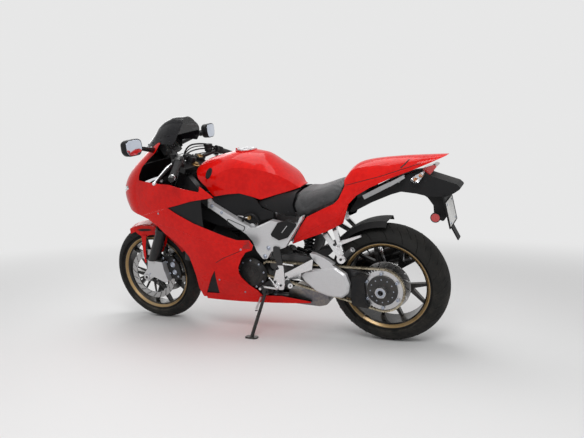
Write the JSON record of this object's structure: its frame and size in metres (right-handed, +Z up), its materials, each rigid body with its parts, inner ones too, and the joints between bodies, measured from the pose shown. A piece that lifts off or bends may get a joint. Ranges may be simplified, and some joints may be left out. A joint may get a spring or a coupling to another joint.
{
  "type": "sport touring motorcycle",
  "caption": "Fully faired sport touring motorcycle on its side stand, with turning wheels, steering, folding stand and opening fuel cap.",
  "frame": {"origin": "middle of the motorcycle's box on the floor it stands on", "axes": "+X forward, +Y to the rider's left, +Z up; the motorcycle leans 10 degrees to +Y"},
  "size_m": [2.14, 0.8654, 1.2158],
  "materials": {
    "red_paint": "high gloss clear coat",
    "silver_paint": "satin silver coat",
    "polished": "bright brushed",
    "black_plastic": "fine grain",
    "black_paint": "semi gloss",
    "steel": "machined",
    "chain_steel": "oiled steel",
    "tyre_rubber": "matt with worn crown",
    "grip_rubber": "ribbed",
    "vinyl": "grained vinyl",
    "smoked": "dark clear",
    "lens_clear": "clear lens",
    "lens_red": "red lens",
    "blank_plate": "white enamel",
    "engine_black": "black cast"
  },
  "bodies": {
    "chassis": {"drive_chain": "chain_steel", "swingarm": "silver_paint", "chain_cover": "black_plastic", "rear_caliper": "black_paint", "hugger": "black_plastic", "engine_block": "engine_black", "engine_covers": "engine_black", "radiator": "black_paint", "exhaust_pipes": "steel", "muffler": "black_paint", "steering_head": "silver_paint", "frame_left": "silver_paint", "frame_right": "silver_paint", "fuel_tank": "red_paint", "rider_seat": "vinyl", "seat_cowl": "red_paint", "tail_side_left": "red_paint", "tail_side_right": "red_paint", "undertail": "black_plastic", "licence_plate": "blank_plate", "headlamps": "lens_clear", "upper_cowl": "red_paint", "side_fairing_left": "red_paint", "side_fairing_right": "red_paint", "lower_fairing_left": "red_paint", "lower_fairing_right": "red_paint", "windscreen": "smoked", "mirrors": "black_plastic", "dashboard": "black_plastic", "inner_panels": "black_plastic", "rider_steps": "polished", "passenger_steps": "polished", "grab_rails": "silver_paint", "rear_signals": "lens_clear", "rear_lamps": "lens_red", "stand_bracket": "black_paint"},
    "front_wheel": {"front_tyre": "tyre_rubber", "front_rim": "black_paint", "front_discs": "steel"},
    "rear_wheel": {"rear_tyre": "tyre_rubber", "rear_rim": "black_paint", "rear_disc": "steel", "rear_axle": "steel", "rear_sprocket": "steel"},
    "steering": {"front_axle": "steel", "fork_legs": "black_paint", "triple_clamps": "black_paint", "handlebars": "black_paint", "grips": "grip_rubber", "front_fender": "red_paint", "front_calipers": "black_paint"},
    "stand": {"side_stand": "black_paint"},
    "tank_cap": {"fuel_cap": "steel"}
  },
  "joints": [
    {"name": "steer", "type": "hinge", "parent": "chassis", "child": "steering", "pos_m": [0.46038, -0.04577, 0.837], "axis": [-0.4305, 0.1567, 0.8889], "range_deg": [-31, 31]},
    {"name": "front_spin", "type": "hinge", "parent": "steering", "child": "front_wheel", "pos_m": [0.77006, -0.141, 0.2969], "axis": [0, 0.9848, -0.1736], "continuous": true},
    {"name": "rear_spin", "type": "hinge", "parent": "chassis", "child": "rear_wheel", "pos_m": [-0.68994, -0.1384, 0.31167], "axis": [0, 0.9848, -0.1736], "continuous": true},
    {"name": "stand_fold", "type": "hinge", "parent": "chassis", "child": "stand", "pos_m": [-0.03994, 0.00383, 0.24293], "axis": [0.0582, 0.9454, 0.3207], "range_deg": [0, 93.4]},
    {"name": "cap_open", "type": "hinge", "parent": "chassis", "child": "tank_cap", "pos_m": [0.12456, -0.01268, 1.02467], "axis": [0, 0.9848, -0.1736], "range_deg": [0, 95]}
  ]
}
